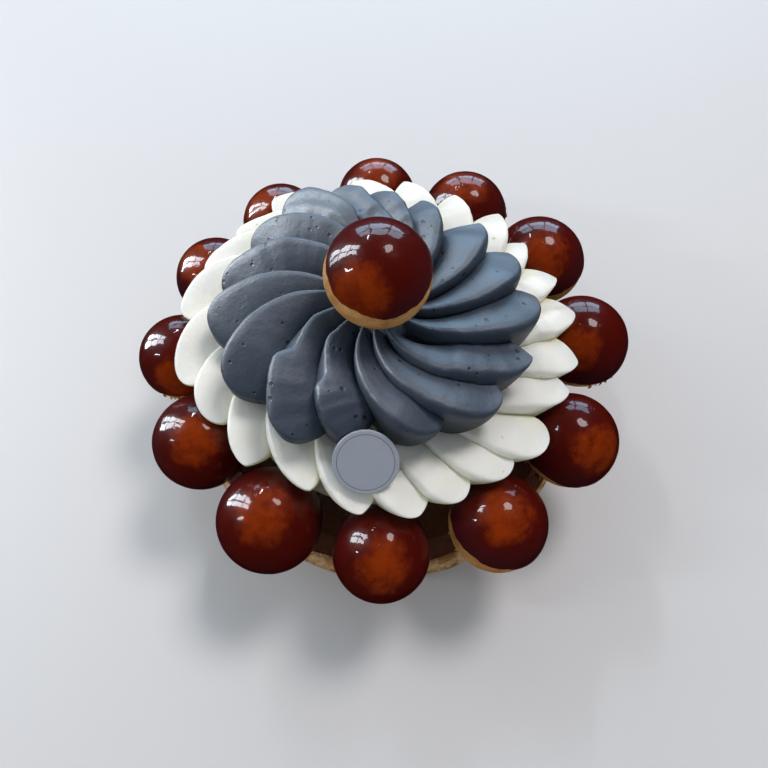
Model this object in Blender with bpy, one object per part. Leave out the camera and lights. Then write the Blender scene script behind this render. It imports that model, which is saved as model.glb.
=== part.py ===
"""A saint-honore cake: a flaky pastry disc under a round of choux, a ring of caramel-dipped choux puffs,
a swirl of white cream petals, a smaller swirl of grey cream petals, one more puff on top and a small round
plaque. Metres, +Z up. The origin is on the table, at the middle of the cake's outline.
"""

import math
import random

import bmesh
import bpy
from mathutils import Matrix, Vector

GAP = 0.0003  # what touching pieces keep between them
CAKE_SHIFT = Vector((0.00022, 0.00026, 0.0))  # brings the middle of the outline to the origin

# The pastry disc and the round of choux baked on it.
DISC_RADIUS = 0.0735
DISC_HEIGHT = 0.0085
DISC_LAYERS = 3
LAYER_SHRINK = 0.0010  # each flaky layer is this much smaller than the one below
LAYER_GROOVE = 0.0011
BAKED_UNEVEN = 0.0007
DISC_SIDES = 40
ROUND_RADIUS = 0.0715
ROUND_TOP = 0.026
ROUND_PULL = 0.0075  # how far the round's side draws in from its widest part
ROUND_STEPS = 4
ROUND_SIDES = 36

# The choux puffs. Each is (angle round the cake, distance from the middle, radius, lean of its dome, direction
# of that lean), and the angles are degrees from +X.
RING_PUFF_HEIGHT = 0.0410
RING_PUFFS = [
    (-90, 0.0723, 0.0161, 32, -92),
    (-121, 0.0725, 0.0177, 18, -100),
    (-151, 0.0723, 0.0167, 33, -50),
    (-178, 0.0738, 0.0158, 5, 150),
    (154, 0.0726, 0.0156, 6, 100),
    (126, 0.0723, 0.0155, 6, 60),
    (94, 0.0723, 0.0158, 8, 120),
    (65, 0.0718, 0.0168, 14, 160),
    (36, 0.0723, 0.0178, 14, 130),
    (6, 0.0723, 0.0174, 4, 60),
    (-26, 0.0721, 0.0169, 12, 40),
    (-58, 0.0723, 0.0169, 15, 35),
]
TOP_PUFF = (0.0172, 6, 70)  # radius, lean and direction
TOP_PUFF_CENTRE = Vector((-0.0030, 0.0, 0.0950))
TOP_PUFF_SEAT = 0.0805
PUFF_SIDES = 16
DOME_ROWS = 5
BELLY_ANGLES = (122, 140, 158)  # degrees from the dome's axis, below the caramel
CARAMEL_EDGE = 101  # degrees from the dome's axis
CARAMEL_EDGE_UNEVEN = 5
CARAMEL_LIP = 0.0007  # how far the caramel stands out from the bare pastry
BELLY_UNEVEN = 0.012  # share of the radius
PUFF_PRESS = 0.0008  # how deep a puff's underside is pressed flat

# The piped cream. A petal is a wedge in section: its crest runs along its clockwise side and round its
# outer end, and its face falls from there to the next petal's flank. Each tip is (angle round the cake in
# degrees, distance from the middle).
CREAM_CENTRE = Vector((-0.0030, 0.0, 0.0))
WHITE_TIPS = [
    (122, 0.0720),
    (141, 0.0685),
    (157, 0.0695),
    (174, 0.0708),
    (193, 0.0698),
    (212, 0.0655),
    (229, 0.0655),
    (247, 0.0615),
    (265, 0.0640),
    (282, 0.0650),
    (296, 0.0625),
    (311, 0.0635),
    (326, 0.0660),
    (340, 0.0655),
    (353, 0.0665),
    (369, 0.0665),
    (382, 0.0650),
    (396, 0.0615),
    (410, 0.0650),
    (425, 0.0625),
    (443, 0.0645),
    (460, 0.0655),
]
GREY_TIPS = [
    (197, 0.0522),
    (221, 0.0485),
    (244, 0.0470),
    (266, 0.0430),
    (291, 0.0430),
    (317, 0.0465),
    (339, 0.0480),
    (364, 0.0490),
    (384, 0.0465),
    (404, 0.0470),
    (428, 0.0465),
    (448, 0.0455),
    (464, 0.0490),
    (483, 0.0560),
    (507, 0.0535),
    (528, 0.0538),
]
WHITE_SWIRL = {
    "inner": 0.040,
    "end": 0.0130,
    "width": 0.330,
    "sweep": 20.0,
    "bend": 1.2,
    "crest": 0.64,
    "valley": 0.46,
    "rows": 7,
}
GREY_SWIRL = {
    "inner": 0.009,
    "end": 0.0120,
    "width": 0.49,
    "sweep": 44.0,
    "bend": 1.35,
    "crest": 0.64,
    "valley": 0.40,
    "rows": 10,
}
FACE_STEPS = (-0.90, -0.55, -0.10, 0.32)  # places across a petal's face, between its low side and its crest
FACE_CURVE = 0.8
CREST_SECTION = ((-0.09, 0.99), (0.03, 0.97), (0.11, 0.84))  # (place from the crest, share of the height)
# The petals at +X end in a point near the crest and those at -X are blunt, with the tip near the low side.
LINE_PLACE = 0.35  # where across a petal its guiding line, and so its tip, lies at +X
BLUNT = 2.5
BLUNT_CHANGE = 0.8
END_RISE = 0.25  # how far the low side rises towards the crest's height at the petal's end
END_SHARE = 0.25  # the tip's share of the height
# Heights that depend on the distance from the middle, as (distance, height).
MEETING_PROFILE = ((0.044, 0.0620), (0.054, 0.0655))  # where the white swirl ends and the grey one begins
WHITE_CREST_PROFILE = ((0.040, 0.0610), (0.057, 0.0642), (0.060, 0.0642), (0.067, 0.0620))
WHITE_FOOT_PROFILE = ((0.052, 0.0460), (0.067, 0.0545))
GREY_CREST_PROFILE = ((0.010, 0.0800), (0.028, 0.0830), (0.034, 0.0830), (0.051, 0.0780))
WHITE_CORE_RADIUS = 0.0520
WHITE_CORE_TOP = 0.0540
GREY_CORE_RADIUS = 0.0300
GREY_CORE_TOP = 0.0700
CORE_ROUNDING = 0.004
CORE_SIDES = 32

# The round plaque that lies on the cream.
PLAQUE_RADIUS = 0.0103
PLAQUE_THICKNESS = 0.0012
PLAQUE_CENTRE = Vector((-0.0054, -0.0511, 0.0700))
PLAQUE_SLOPE = 38  # degrees, downwards to the front
PLAQUE_CLEARING = 0.010  # no cream stands over the plaque's face within this height
PLAQUE_BEVEL = 0.0002
PLAQUE_SIDES = 28


def clear_scene():
    for thing in list(bpy.data.objects):
        bpy.data.objects.remove(thing, do_unlink=True)


def make_material(name, colour, roughness):
    material = bpy.data.materials.new(name)
    material.use_nodes = True
    shader = material.node_tree.nodes["Principled BSDF"]
    shader.inputs["Base Color"].default_value = (*colour, 1.0)
    shader.inputs["Roughness"].default_value = roughness
    shader.inputs["Metallic"].default_value = 0.0
    return material


def height_at(profile, distance):
    """Height on a profile of (distance, height) points, eased between them and level beyond its ends."""
    if distance <= profile[0][0]:
        return profile[0][1]
    for (near, start), (far, end) in zip(profile, profile[1:]):
        if distance <= far:
            share = (distance - near) / (far - near)
            return start + (end - start) * share * share * (3 - 2 * share)
    return profile[-1][1]


def wobble(angle, seed):
    """An uneven closed wave from -1 to 1 round a full turn."""
    draw = random.Random(seed)
    waves = [(count, draw.uniform(0, math.tau), draw.uniform(0.5, 1.0)) for count in (2, 3, 5, 7)]
    total = sum(weight for _, _, weight in waves)
    return sum(weight * math.sin(count * angle + phase) for count, phase, weight in waves) / total


def loft(name, rings, material, start_point=None, end_point=None):
    """A closed mesh through rings of equal count, ended by a flat cap or a single point."""
    mesh = bmesh.new()
    rows = [[mesh.verts.new(point) for point in ring] for ring in rings]
    count = len(rows[0])
    for lower, upper in zip(rows, rows[1:]):
        for i in range(count):
            j = (i + 1) % count
            mesh.faces.new((lower[i], lower[j], upper[j], upper[i]))
    for row, point, turned in ((rows[0], start_point, True), (rows[-1], end_point, False)):
        if point is None:
            mesh.faces.new(row[::-1] if turned else row)
            continue
        tip = mesh.verts.new(point)
        for i in range(count):
            j = (i + 1) % count
            mesh.faces.new((row[j], row[i], tip) if turned else (row[i], row[j], tip))
    bmesh.ops.recalc_face_normals(mesh, faces=mesh.faces)
    data = bpy.data.meshes.new(name)
    mesh.to_mesh(data)
    mesh.free()
    return add_object(name, data, material)


def add_object(name, data, material):
    thing = bpy.data.objects.new(name, data)
    bpy.context.scene.collection.objects.link(thing)
    if material is not None and not data.materials:
        data.materials.append(material)
    return thing


def ring_points(sides, radius, height, uneven=0.0, seed=0):
    """Points round the Z axis at this radius, which may vary a little on the way round."""
    points = []
    for i in range(sides):
        angle = math.tau * i / sides
        reach = radius + (uneven * wobble(angle, seed) if uneven else 0.0)
        points.append(Vector((reach * math.cos(angle), reach * math.sin(angle), height)))
    return points


# ---- pastry ----


def make_pastry_disc(material):
    """A baked disc whose side shows its flaky layers as uneven ridges."""
    thickness = DISC_HEIGHT / DISC_LAYERS
    rings = [ring_points(DISC_SIDES, DISC_RADIUS - LAYER_GROOVE, 0.0, BAKED_UNEVEN, 0)]
    for layer in range(DISC_LAYERS):
        radius = DISC_RADIUS - LAYER_SHRINK * layer
        middle = thickness * (layer + 0.5)
        rings.append(ring_points(DISC_SIDES, radius, middle, BAKED_UNEVEN, layer))
        rings.append(ring_points(DISC_SIDES, radius - LAYER_GROOVE, thickness * (layer + 1), BAKED_UNEVEN, layer))
    return loft("pastry_disc", rings, material)


def make_choux_round(material):
    """The piped and baked choux that carries the ring of puffs, with a bulging side."""
    low = DISC_HEIGHT + GAP
    rings = []
    for step in range(ROUND_STEPS + 1):
        share = step / ROUND_STEPS
        bulge = math.sin(math.pi * (0.12 + 0.80 * share))
        radius = ROUND_RADIUS - ROUND_PULL * (1 - bulge)
        height = low + (ROUND_TOP - low) * share
        rings.append(ring_points(ROUND_SIDES, radius, height, BAKED_UNEVEN, 40 + step // 2))
    return loft("choux_round", rings, material)


# ---- puffs ----


def puff_point(radius, depth, axis_angle, turn):
    """A point of a puff, whose height is a share of this depth."""
    across = radius * math.sin(axis_angle)
    return Vector((across * math.cos(turn), across * math.sin(turn), depth * math.cos(axis_angle)))


def puff_rings(radius, inner, depth, seed):
    """Rings from just under the dome's top to the underside, with the caramel's uneven edge as a step."""
    turns = [math.tau * i / PUFF_SIDES for i in range(PUFF_SIDES)]
    edges = [math.radians(CARAMEL_EDGE + CARAMEL_EDGE_UNEVEN * wobble(turn, seed)) for turn in turns]
    rings = []
    for row in range(1, DOME_ROWS + 1):
        share = row / DOME_ROWS
        rings.append([puff_point(radius, radius, edge * share, turn) for turn, edge in zip(turns, edges)])
    rings.append([puff_point(inner, inner, edge + 0.02, turn) for turn, edge in zip(turns, edges)])
    for degrees in BELLY_ANGLES:
        ring = []
        for turn in turns:
            reach = inner * (1 + BELLY_UNEVEN * wobble(turn, seed + degrees))
            ring.append(puff_point(reach, depth, math.radians(degrees), turn))
        rings.append(ring)
    return rings


def trim_below(data, height):
    """Cuts the mesh flat at this height, keeping what is above."""
    mesh = bmesh.new()
    mesh.from_mesh(data)
    everything = mesh.verts[:] + mesh.edges[:] + mesh.faces[:]
    bmesh.ops.bisect_plane(
        mesh, geom=everything, plane_co=(0, 0, height), plane_no=(0, 0, -1), clear_outer=True, dist=1e-6
    )
    bmesh.ops.holes_fill(mesh, edges=[edge for edge in mesh.edges if edge.is_boundary])
    bmesh.ops.recalc_face_normals(mesh, faces=mesh.faces)
    mesh.to_mesh(data)
    mesh.free()


def make_puff(name, centre, shape, seat, material, seed, grow=0.0):
    """A choux puff with its caramel dome, flat where it sits. With grow it is the room that it takes."""
    radius, lean, toward = shape
    outer = radius + grow
    inner = outer - CARAMEL_LIP
    depth = centre.z - seat + PUFF_PRESS + grow
    rings = puff_rings(outer, inner, depth, seed)
    puff = loft(name, rings, material, start_point=Vector((0, 0, outer)), end_point=Vector((0, 0, -depth)))
    turn = Matrix.Rotation(math.radians(toward), 4, "Z")
    tip = Matrix.Rotation(math.radians(lean), 4, "Y")
    puff.data.transform(Matrix.Translation(centre) @ turn @ tip @ turn.inverted())
    trim_below(puff.data, seat - grow)
    return puff


def round_the_cake(degrees, distance, height):
    angle = math.radians(degrees)
    return Vector((distance * math.cos(angle), distance * math.sin(angle), height))


def make_puffs(material, grow=0.0):
    """The ring of puffs and the one on top, or with grow the cutters that make room for them."""
    ending = "_room" if grow else ""
    puffs = []
    for number, (degrees, distance, *shape) in enumerate(RING_PUFFS, start=1):
        name = f"ring_puff_{number:02d}{ending}"
        centre = round_the_cake(degrees, distance, RING_PUFF_HEIGHT)
        puffs.append(make_puff(name, centre, shape, ROUND_TOP + GAP, material, number, grow))
    top = make_puff(f"top_puff{ending}", TOP_PUFF_CENTRE, TOP_PUFF, TOP_PUFF_SEAT, material, 20, grow)
    return puffs, top


# ---- cream ----


def white_top(distance):
    """Height of the white petals' crests, which stay under the grey swirl."""
    return min(height_at(WHITE_CREST_PROFILE, distance), height_at(MEETING_PROFILE, distance) - GAP)


def white_foot(distance):
    return height_at(WHITE_FOOT_PROFILE, distance)


def grey_top(distance):
    return height_at(GREY_CREST_PROFILE, distance)


def grey_foot(distance):
    return height_at(MEETING_PROFILE, distance) + GAP


def petal_section(swirl, rise):
    """(place across the petal, share of its height) from its low side over the crest to its flank's foot."""
    crest = swirl["crest"]
    valley = swirl["valley"] + rise

    def face(across):
        return valley + (1 - valley) * ((across - FACE_STEPS[0]) / (crest - FACE_STEPS[0])) ** FACE_CURVE

    section = [(-1.0, 0.0)]
    section += [(across, face(across)) for across in FACE_STEPS]
    section += [(crest + place, share) for place, share in CREST_SECTION]
    section += [(1.0, 0.0)]
    return section


def make_petal(swirl, tip, top_at, foot_at):
    """One piped petal. Its guiding line bends anticlockwise on its way out, and its end is rounded."""
    outer = tip.length
    tip_angle = math.atan2(tip.y, tip.x)
    sweep, bend = math.radians(swirl["sweep"]), swirl["bend"]
    inner, rows = swirl["inner"], swirl["rows"]
    line_place = LINE_PLACE * math.cos(tip_angle)
    blunt = BLUNT - BLUNT_CHANGE * math.cos(tip_angle)
    rings = []
    for row in range(rows):
        radius = inner + (outer - inner) * math.sin(math.pi / 2 * row / rows)
        closing = max(0.0, (radius - outer + swirl["end"]) / swirl["end"])
        half_width = swirl["width"] * 0.5 * radius * (1 - closing**blunt) ** 0.5
        fullness = (1 - closing**6) ** 0.5
        share_out = (radius - inner) / (outer - inner)
        angle = tip_angle - sweep * (1 - share_out**bend)
        outwards = angle + math.atan(radius * sweep * bend * share_out ** (bend - 1) / (outer - inner))
        middle = Vector((radius * math.cos(angle), radius * math.sin(angle), 0))
        clockwise = Vector((math.sin(outwards), -math.cos(outwards), 0))
        ring = []
        for across, share in petal_section(swirl, END_RISE * closing**2):
            point = middle + clockwise * (half_width * (across - line_place))
            low = foot_at(math.hypot(point.x, point.y))
            point.z = low + (top_at(radius) - low) * share * fullness
            ring.append(point + CREAM_CENTRE)
        rings.append(ring)
    end_point = tip + CREAM_CENTRE
    end_point.z = foot_at(outer) + END_SHARE * (top_at(outer) - foot_at(outer))
    return loft("petal", rings, None, end_point=end_point)


def make_core(low, top, radius):
    """The mound of cream that a swirl is piped on."""
    shoulder = top - CORE_ROUNDING
    rings = [ring_points(CORE_SIDES, radius, low), ring_points(CORE_SIDES, radius, shoulder)]
    rings.append(ring_points(CORE_SIDES, radius - CORE_ROUNDING, top))
    return loft("core", [[point + CREAM_CENTRE for point in ring] for ring in rings], None)


def boolean_with(thing, others, operation):
    """Joins the others to the thing, or cuts them from it, applies that and removes them."""
    tools = bpy.data.collections.new("tools")
    bpy.context.scene.collection.children.link(tools)
    for other in others:
        bpy.context.scene.collection.objects.unlink(other)
        tools.objects.link(other)
    modifier = thing.modifiers.new(operation.title(), "BOOLEAN")
    modifier.operation = operation
    modifier.operand_type = "COLLECTION"
    modifier.collection = tools
    modifier.solver = "EXACT"
    bpy.context.view_layer.update()
    evaluated = thing.evaluated_get(bpy.context.evaluated_depsgraph_get())
    result = bpy.data.meshes.new_from_object(evaluated)
    thing.modifiers.clear()
    thing.data = result
    for other in others:
        bpy.data.objects.remove(other, do_unlink=True)
    bpy.data.collections.remove(tools)


def make_cream(name, swirl, tips, core, top_at, foot_at, room, material):
    """A swirl of petals joined to its core, less the room that the puffs and the plaque take."""
    petals = []
    for degrees, distance in tips:
        tip = round_the_cake(degrees, distance, 0) - CREAM_CENTRE
        petals.append(make_petal(swirl, tip, top_at, foot_at))
    boolean_with(core, petals, "UNION")
    boolean_with(core, room, "DIFFERENCE")
    core.name = name
    core.data.name = name
    core.data.materials.clear()
    core.data.materials.append(material)
    return core


# ---- plaque ----


def make_plaque(material, grow=0.0):
    """A thin round plaque on the cream, sloping down to the front. With grow it is the room that it takes."""
    bottom = -PLAQUE_THICKNESS / 2 - grow
    top = PLAQUE_CLEARING if grow else PLAQUE_THICKNESS / 2
    radius = PLAQUE_RADIUS + grow
    rings = [
        ring_points(PLAQUE_SIDES, radius - PLAQUE_BEVEL, bottom),
        ring_points(PLAQUE_SIDES, radius, bottom + PLAQUE_BEVEL),
        ring_points(PLAQUE_SIDES, radius, top - PLAQUE_BEVEL),
        ring_points(PLAQUE_SIDES, radius - PLAQUE_BEVEL, top),
    ]
    plaque = loft("plaque_room" if grow else "plaque", rings, material)
    slope = Matrix.Rotation(math.radians(PLAQUE_SLOPE), 4, "X")
    plaque.data.transform(Matrix.Translation(PLAQUE_CENTRE) @ slope)
    return plaque


def finish(things):
    """Moves everything so that the outline's middle is the origin, and shades the round forms smooth."""
    for thing in things:
        thing.data.transform(Matrix.Translation(CAKE_SHIFT))
        thing.data.shade_smooth()
        thing.data.set_sharp_from_angle(angle=math.radians(42))


def main():
    clear_scene()
    flaky = make_material("flaky pastry", (0.62, 0.40, 0.16), 0.7)
    choux = make_material("browned choux", (0.33, 0.14, 0.045), 0.6)
    caramel = make_material("caramel", (0.22, 0.035, 0.008), 0.12)
    white = make_material("white cream", (0.86, 0.84, 0.76), 0.5)
    grey = make_material("grey cream", (0.065, 0.082, 0.100), 0.5)
    slate = make_material("plaque grey", (0.24, 0.26, 0.33), 0.5)

    made = [make_pastry_disc(flaky), make_choux_round(choux)]
    ring, top = make_puffs(caramel)
    made += [*ring, top, make_plaque(slate)]

    ring_room, top_room = make_puffs(None, grow=GAP)
    core = make_core(ROUND_TOP + GAP, WHITE_CORE_TOP, WHITE_CORE_RADIUS)
    room = [*ring_room, make_plaque(None, grow=GAP)]
    made.append(make_cream("white_cream", WHITE_SWIRL, WHITE_TIPS, core, white_top, white_foot, room, white))
    core = make_core(grey_foot(0), GREY_CORE_TOP, GREY_CORE_RADIUS)
    room = [top_room, make_plaque(None, grow=GAP)]
    made.append(make_cream("grey_cream", GREY_SWIRL, GREY_TIPS, core, grey_top, grey_foot, room, grey))
    finish(made)


main()
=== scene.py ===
import math
import random

import bmesh
import bpy
from mathutils import Matrix, Vector


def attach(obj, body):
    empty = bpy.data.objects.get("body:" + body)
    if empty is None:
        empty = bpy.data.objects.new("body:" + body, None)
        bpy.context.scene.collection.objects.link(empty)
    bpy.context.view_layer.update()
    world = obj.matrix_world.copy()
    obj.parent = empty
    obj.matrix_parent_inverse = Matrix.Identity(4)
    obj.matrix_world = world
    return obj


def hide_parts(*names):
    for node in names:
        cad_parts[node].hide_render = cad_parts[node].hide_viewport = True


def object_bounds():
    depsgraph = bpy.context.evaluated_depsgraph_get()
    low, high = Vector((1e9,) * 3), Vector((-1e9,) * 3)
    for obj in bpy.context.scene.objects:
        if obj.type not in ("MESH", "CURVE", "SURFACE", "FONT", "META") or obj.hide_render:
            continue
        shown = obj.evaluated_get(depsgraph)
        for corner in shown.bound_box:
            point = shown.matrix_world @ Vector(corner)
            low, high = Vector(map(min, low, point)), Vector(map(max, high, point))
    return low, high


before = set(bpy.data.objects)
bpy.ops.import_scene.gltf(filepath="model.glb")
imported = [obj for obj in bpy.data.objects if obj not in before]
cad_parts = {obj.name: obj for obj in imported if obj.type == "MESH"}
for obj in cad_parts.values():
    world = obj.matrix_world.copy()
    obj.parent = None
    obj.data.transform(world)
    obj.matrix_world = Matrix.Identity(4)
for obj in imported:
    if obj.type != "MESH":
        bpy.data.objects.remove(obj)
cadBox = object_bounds()
scene = bpy.context.scene
print("frame is in:", len(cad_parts), "nodes")

cakeShift = Vector((0.00022, 0.00026, 0.0))  # the same small shift that the solids have
cameraView = {  # its focal length is in pixels of a picture of that width
    "elevation": 65.15, "distance": 0.3159, "target": (-0.0004, 0.0076, 0.0), "roll": 1.33,
    "pixels": 750.0, "pictureWidth": 768, "sensor": 36, "nearest": 0.01,
}


# a Value is what a node gives, and plain arithmetic on it adds math nodes to its tree

class Value:
    def __init__(self, socket):
        self.socket = socket
        self.tree = socket.id_data

    def __add__(self, other):
        return calc("ADD", self, other)

    def __sub__(self, other):
        return calc("SUBTRACT", self, other)

    def __rsub__(self, other):
        return calc("SUBTRACT", other, self)

    def __mul__(self, other):
        return calc("MULTIPLY", self, other)

    def __truediv__(self, other):
        return calc("DIVIDE", self, other)

    def __pow__(self, other):
        return calc("POWER", self, other)

    def __gt__(self, other):
        return calc("GREATER_THAN", self, other)

    def __lt__(self, other):
        return calc("LESS_THAN", self, other)


def feedAll(node, inputs):  # by name or number: a Value is linked, and anything else is set
    for name, value in dict(inputs).items():
        if isinstance(value, Value):
            value.tree.links.new(value.socket, node.inputs[name])
        else:
            node.inputs[name].default_value = value


def newNode(tree, kind, inputs=(), **settings):
    node = tree.nodes.new(kind)
    for name, value in settings.items():
        setattr(node, name, value)
    feedAll(node, inputs)
    return node


def give(tree, kind, inputs=(), output=0, **settings):  # adds a node and returns what it gives
    return Value(newNode(tree, kind, inputs, **settings).outputs[output])


def outputsOf(node):
    return {socket.name: Value(socket) for socket in node.outputs}


def treeOf(values):
    return next(value.tree for value in values if isinstance(value, Value))


def calc(operation, *values):
    return give(treeOf(values), "ShaderNodeMath", dict(enumerate(values)), operation=operation)


def ramp(value, low, high, start=0.0, end=1.0, eased=True):  # maps low..high to start..end
    ends = {"Value": value, "From Min": low, "From Max": high, "To Min": start, "To Max": end}
    way = "SMOOTHSTEP" if eased else "LINEAR"
    return give(value.tree, "ShaderNodeMapRange", ends, interpolation_type=way)


def switchOf(condition, otherwise, chosen):
    return condition * (chosen - otherwise) + otherwise


def bellOf(value, middle, width):
    away = (value - middle) / width
    return calc("EXPONENT", away * away * -1.0)


def clampOf(value, low=0.0, high=1.0):
    return calc("MINIMUM", calc("MAXIMUM", value, low), high)


def joinXyz(*values):
    return give(treeOf(values), "ShaderNodeCombineXYZ", dict(enumerate(values)))


def splitXyz(vector):
    return outputsOf(newNode(vector.tree, "ShaderNodeSeparateXYZ", {0: vector}))


def vectorCalc(operation, *values):
    inputs = dict(zip((0, 3) if operation == "SCALE" else (0, 1), values))
    output = "Value" if operation in ("LENGTH", "DOT_PRODUCT") else 0
    return give(treeOf(values), "ShaderNodeVectorMath", inputs, output, operation=operation)


def noiseOf(where, scale, detail, roughness, distortion=0.0, output=0):
    inputs = {"Vector": where, "Scale": scale, "Detail": detail, "Roughness": roughness}
    inputs["Distortion"] = distortion
    return give(where.tree, "ShaderNodeTexNoise", inputs, output, noise_dimensions="3D")


def evenNoise(*noise):  # the same noise, as much below nothing as above it
    return noiseOf(*noise) - 0.5


def curveOf(value, points, sharp=()):  # a curve through given points, from 0..1 to 0..1
    node = newNode(value.tree, "ShaderNodeFloatCurve")
    drawn = node.mapping.curves[0].points
    drawn[0].location = points[0]
    drawn[1].location = points[-1]
    for x, y in points[1:-1]:
        drawn.new(x, y)
    for point in drawn:
        point.handle_type = "VECTOR" if any(abs(point.location[0] - x) < 1e-4 for x in sharp) else "AUTO"
    node.mapping.update()
    feedAll(node, {"Value": value})
    return Value(node.outputs[0])


def newTree(name, kind, inputs, outputs):
    tree = bpy.data.node_groups.new(name, kind)
    for direction, sockets in (("INPUT", inputs), ("OUTPUT", outputs)):
        for label, socketKind, value in sockets:
            kindName = "NodeSocket" + socketKind
            socket = tree.interface.new_socket(name=label, in_out=direction, socket_type=kindName)
            if value is not None:
                socket.default_value = value
    return tree, outputsOf(newNode(tree, "NodeGroupInput")), newNode(tree, "NodeGroupOutput")


def attributeOf(tree, name):
    return give(tree, "GeometryNodeInputNamedAttribute", {"Name": name}, data_type="FLOAT")


def storeOn(geometry, name, value):
    inputs = {"Geometry": geometry, "Name": name, "Value": value}
    return give(geometry.tree, "GeometryNodeStoreNamedAttribute", inputs, data_type="FLOAT", domain="POINT")


def through(kind, geometry, more=(), **settings):  # one geometry node, whose first input takes the geometry
    return give(geometry.tree, "GeometryNode" + kind, {0: geometry, **dict(more)}, **settings)


def sheetOf(tree, rows, columns):  # a flat sheet that knows its place along and around, to be bent
    grid = {"Size X": 1.0, "Size Y": 1.0, "Vertices X": rows, "Vertices Y": columns}
    place = splitXyz(give(tree, "GeometryNodeInputPosition"))
    sheet = storeOn(give(tree, "GeometryNodeMeshGrid", grid), "along", place["X"] + 0.5)
    return storeOn(sheet, "around", place["Y"] + 0.5)


def moveTo(geometry, position):
    return through("SetPosition", geometry, {"Position": position})


def pushOut(geometry, distance):  # moves each point along its normal
    normal = give(geometry.tree, "GeometryNodeInputNormal")
    return through("SetPosition", geometry, {"Offset": vectorCalc("SCALE", normal, distance)})


def wholeOf(value):
    return give(value.tree, "FunctionNodeFloatToInt", {0: value}, rounding_mode="ROUND")


def finishOf(geometry, material):  # real, smooth faces with their material
    smooth = through("SetShadeSmooth", through("RealizeInstances", geometry))
    return through("SetMaterial", smooth, {"Material": material})


def closedSkin(geometry, material, turned=False):  # seams and poles joined
    skin = through("MergeByDistance", geometry, {"Distance": 0.000001})
    return finishOf(through("FlipFaces", skin) if turned else skin, material)


def addObject(name, mesh):
    thing = bpy.data.objects.new(name, mesh)
    scene.collection.objects.link(thing)
    return thing


def keepInside(mesh):  # the finer skin never reaches past the solids' own box
    low, high = cadBox
    for vertex in mesh.vertices:
        vertex.co = [min(max(vertex.co[axis], low[axis]), high[axis]) for axis in range(3)]


def runTree(thing, tree, values):  # sets the inputs by identifier, then keeps the result as a plain mesh
    modifier = thing.modifiers.new(tree.name, "NODES")
    modifier.node_group = tree
    for item in tree.interface.items_tree:
        if item.item_type == "SOCKET" and item.in_out == "INPUT" and item.name in values:
            modifier[item.identifier] = values[item.name]
    depsgraph = bpy.context.evaluated_depsgraph_get()
    mesh = bpy.data.meshes.new_from_object(thing.evaluated_get(depsgraph), depsgraph=depsgraph)
    thing.modifiers.clear()
    thing.data = mesh
    mesh.name = thing.name
    return thing


def handIn(thing, slotName, *nodes):
    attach(thing, "root")
    if nodes:
        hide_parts(*nodes)


def newMaterial(name):
    material = bpy.data.materials.new(name)
    material.use_nodes = True
    return material, material.node_tree, material.node_tree.nodes["Principled BSDF"]


def objectPlace(tree):
    return give(tree, "ShaderNodeTexCoord", (), "Object")


def useGroup(tree, group, inputs):
    return outputsOf(newNode(tree, "ShaderNodeGroup", inputs, node_tree=group))


def mixColour(share, first, second):
    return give(share.tree, "ShaderNodeMix", {0: share, 6: first, 7: second}, 2, data_type="RGBA")


def bumpOf(height, strength, distance):
    inputs = {"Height": height, "Strength": strength, "Distance": distance}
    return give(height.tree, "ShaderNodeBump", inputs)


def shadeAttribute(tree, name):
    return give(tree, "ShaderNodeAttribute", (), "Fac", attribute_name=name)


# effects that several materials share

def buildCreamGrain():
    # whipped cream: soft pores, tiny air bubbles and a slow change of tone
    tree, value, outside = newTree(
        "creamGrain", "ShaderNodeTree",
        [("Place", "Vector", None), ("Pore scale", "Float", 900.0), ("Bubble scale", "Float", 290.0),
         ("Bubble share", "Float", 0.06)],
        [("Height", "Float", None), ("Bubbles", "Float", None), ("Tone", "Float", None)])
    place = value["Place"]
    pores = noiseOf(place, value["Pore scale"], 4.0, 0.65)
    lumps = noiseOf(place, 190.0, 3.0, 0.55)
    spread = {"Vector": place, "Scale": value["Bubble scale"]}
    cells = outputsOf(newNode(tree, "ShaderNodeTexVoronoi", spread, feature="F1"))
    chance = outputsOf(newNode(tree, "ShaderNodeSeparateColor", {0: cells["Color"]}))
    crowd = ramp(noiseOf(place, 60.0, 1.0, 0.5), 0.35, 0.65, 0.2, 1.6)
    chosen = chance["Red"] < value["Bubble share"] * crowd
    size = ramp(chance["Green"], 0.0, 1.0, 0.11, 0.26, False)
    bubbles = chosen * ramp(cells["Distance"], size * 0.6, size, 1.0, 0.0)
    height = pores * 0.5 + lumps * 1.1 - bubbles * 2.0
    feedAll(outside, {"Height": height, "Bubbles": bubbles, "Tone": noiseOf(place, 45.0, 2.0, 0.5)})
    return tree


def buildOvenBrowning():
    # baked dough: blotches of browning and a crackled, floury surface
    tree, value, outside = newTree(
        "ovenBrowning", "ShaderNodeTree",
        [("Place", "Vector", None), ("Blotch scale", "Float", 70.0), ("Crackle scale", "Float", 420.0)],
        [("Browning", "Float", None), ("Crackle", "Float", None), ("Height", "Float", None)])
    place = value["Place"]
    blotch = noiseOf(place, value["Blotch scale"], 5.0, 0.62, 0.6)
    fine = noiseOf(place, 900.0, 4.0, 0.7)
    jitter = noiseOf(place, 160.0, 2.0, 0.5, 0.0, "Color")
    bent = vectorCalc("ADD", place, vectorCalc("SCALE", jitter, 0.0022))
    spread = {"Vector": bent, "Scale": value["Crackle scale"]}
    edges = give(tree, "ShaderNodeTexVoronoi", spread, "Distance", feature="DISTANCE_TO_EDGE")
    crackle = ramp(edges, 0.0, 0.16, 1.0, 0.0)
    height = fine * 0.6 + blotch * 0.9 - crackle * 0.35
    feedAll(outside, {"Browning": ramp(blotch, 0.36, 0.66), "Crackle": crackle, "Height": height})
    return tree


creamGrain = buildCreamGrain()
ovenBrowning = buildOvenBrowning()

# cream

# the deep colours are painted shade toward the creases between petals and in the pores, mixed with a slow
# random change of tone
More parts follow.
